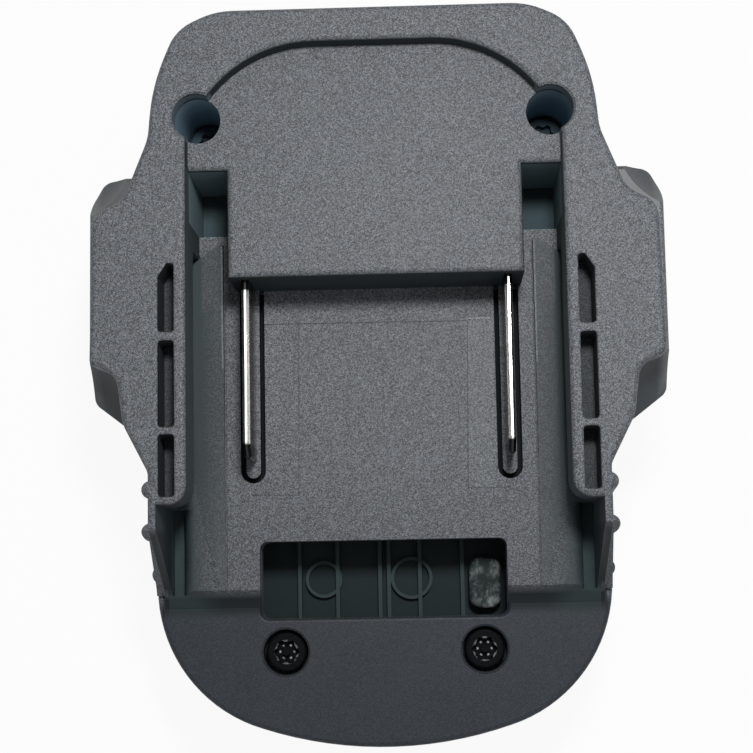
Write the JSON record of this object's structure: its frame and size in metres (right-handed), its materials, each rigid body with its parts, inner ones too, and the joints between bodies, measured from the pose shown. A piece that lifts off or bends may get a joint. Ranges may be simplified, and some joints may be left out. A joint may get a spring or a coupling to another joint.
{
  "type": "tool battery adapter",
  "caption": "Slide-on adapter: a lipped battery socket with two blade contacts on one side, a railed tower with side release buttons on the other.",
  "frame": {"origin": "bottom centre of the bounding box, on the flat face of the tower", "axes": "+X to the right, +Y from the round nose to the terminal block, +Z out of the battery socket"},
  "size_m": [0.0862, 0.1096, 0.045],
  "materials": {
    "shell_black": "fine-grained moulded plastic",
    "tool_shell_black": "fine-grained moulded plastic, smooth inside",
    "button_black": "fine-grained moulded plastic",
    "spring_steel": "drawn spring wire",
    "blade_nickel": "nickel plate",
    "insulator_grey": "moulded insulator",
    "board_green": "solder mask",
    "component_black": "moulded component",
    "capacitor_sleeve": "shrunk sleeve",
    "small_screw_steel": "zinc plate",
    "case_screw_black": "black oxide",
    "fork_brass": "spring brass",
    "lead_red": "flexible insulation",
    "lead_black": "flexible insulation",
    "lead_yellow": "flexible insulation"
  },
  "bodies": {
    "housing": {"socket_shell": "shell_black", "tool_side_shell": "tool_shell_black", "left_release_spring": "spring_steel", "right_release_spring": "spring_steel", "positive_blade": "blade_nickel", "negative_blade": "blade_nickel", "blade_carrier": "insulator_grey", "fork_carrier": "insulator_grey", "circuit_board": "board_green", "power_transistor": "component_black", "control_chip": "component_black", "board_capacitor": "capacitor_sleeve", "board_resistors": "component_black", "board_screws": "small_screw_steel", "upper_case_screws": "case_screw_black", "nose_case_screws": "case_screw_black", "positive_fork": "fork_brass", "negative_fork": "fork_brass", "signal_forks": "fork_brass", "positive_lead": "lead_red", "negative_lead": "lead_black", "signal_leads": "lead_yellow"},
    "right_release": {"right_release_button": "button_black"},
    "left_release": {"left_release_button": "button_black"}
  },
  "joints": [
    {"name": "right_release_slide", "type": "slide", "parent": "housing", "child": "right_release", "axis": [-1, 0, 0], "range_m": [0, 0.0025], "stiffness_N_per_m": 1200, "springref_m": -0.002, "deforming": ["right_release_spring"]},
    {"name": "left_release_slide", "type": "slide", "parent": "housing", "child": "left_release", "axis": [1, 0, 0], "range_m": [0, 0.0025], "stiffness_N_per_m": 1200, "springref_m": -0.002, "deforming": ["left_release_spring"]}
  ]
}
